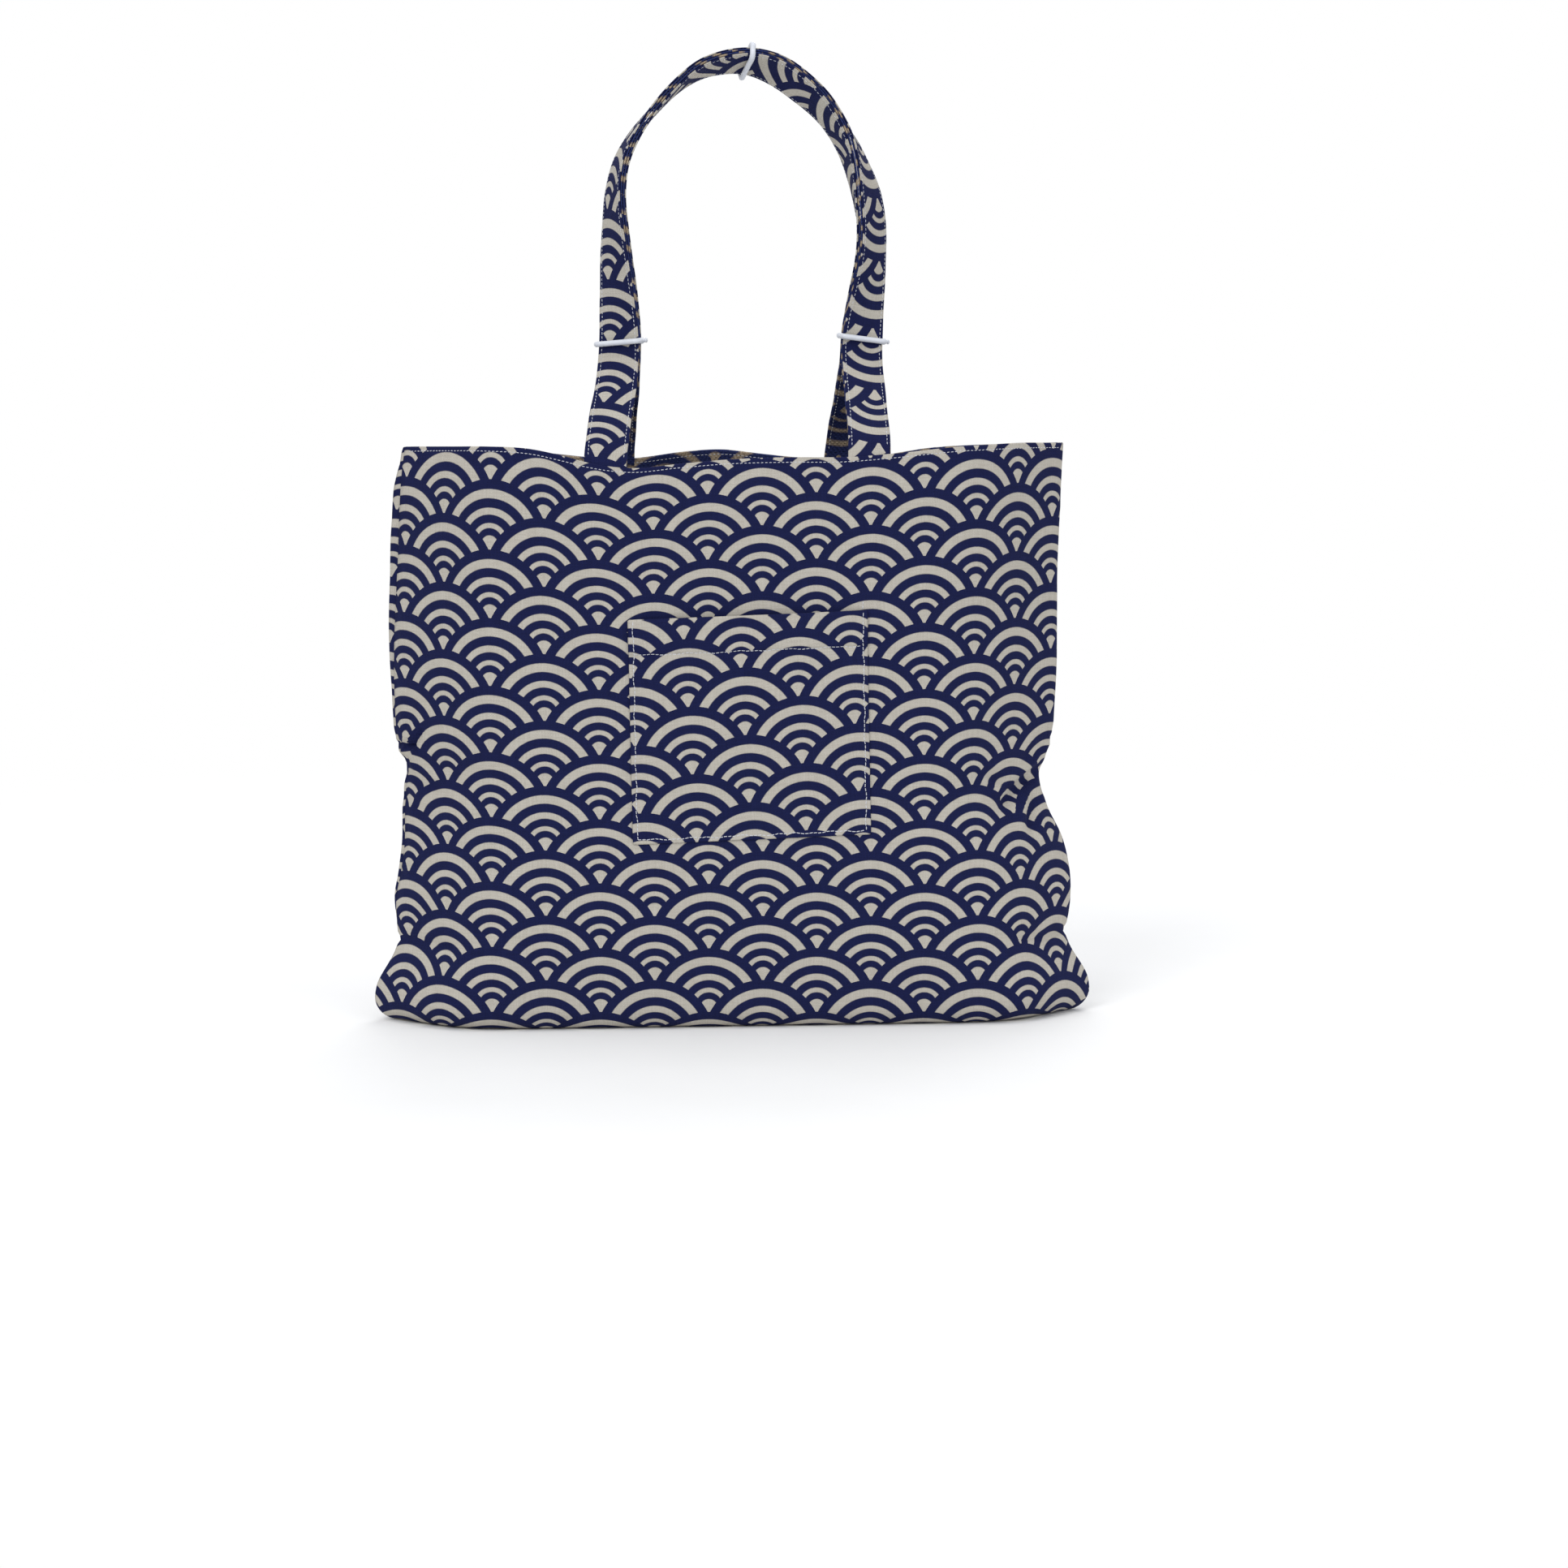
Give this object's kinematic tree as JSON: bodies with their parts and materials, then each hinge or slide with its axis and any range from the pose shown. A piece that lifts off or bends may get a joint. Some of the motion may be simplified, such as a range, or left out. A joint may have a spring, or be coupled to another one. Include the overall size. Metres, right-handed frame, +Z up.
{
  "type": "reversible shopping bag",
  "caption": "Open cloth shopping bag with a flat boxed base, printed outside and lining, a patch pocket on each, and short handles tied together into one arch that nods to the front and back.",
  "frame": {"origin": "on the floor, under the middle of the bag's flat base", "axes": "+Z up to the handles, +X along the mouth to the right seen from the front, -Y out of the front face with the cotton pocket"},
  "size_m": [0.4416, 0.1106, 0.5957],
  "materials": {
    "printed_cotton": "plain woven cotton, screen printed navy on cream",
    "printed_jute": "coarse plain woven jute, screen printed navy on tan",
    "white_plastic": "moulded white nylon"
  },
  "bodies": {
    "bag": {"cotton_front_panel": "printed_cotton", "cotton_back_panel": "printed_cotton", "jute_front_panel": "printed_jute", "jute_back_panel": "printed_jute", "cotton_pocket": "printed_cotton", "jute_pocket": "printed_jute", "front_left_leg_cotton": "printed_cotton", "front_left_leg_jute": "printed_jute", "front_right_leg_cotton": "printed_cotton", "front_right_leg_jute": "printed_jute", "back_left_leg_cotton": "printed_cotton", "back_left_leg_jute": "printed_jute", "back_right_leg_cotton": "printed_cotton", "back_right_leg_jute": "printed_jute", "left_tie": "white_plastic", "right_tie": "white_plastic"},
    "tied_handles": {"front_arch_cotton": "printed_cotton", "front_arch_jute": "printed_jute", "back_arch_cotton": "printed_cotton", "back_arch_jute": "printed_jute", "top_tie": "white_plastic"}
  },
  "joints": [
    {"name": "handles_nod", "type": "hinge", "parent": "bag", "child": "tied_handles", "pos_m": [0, 0, 0.42342], "axis": [1, 0, 0], "range_deg": [-120, 120]}
  ]
}
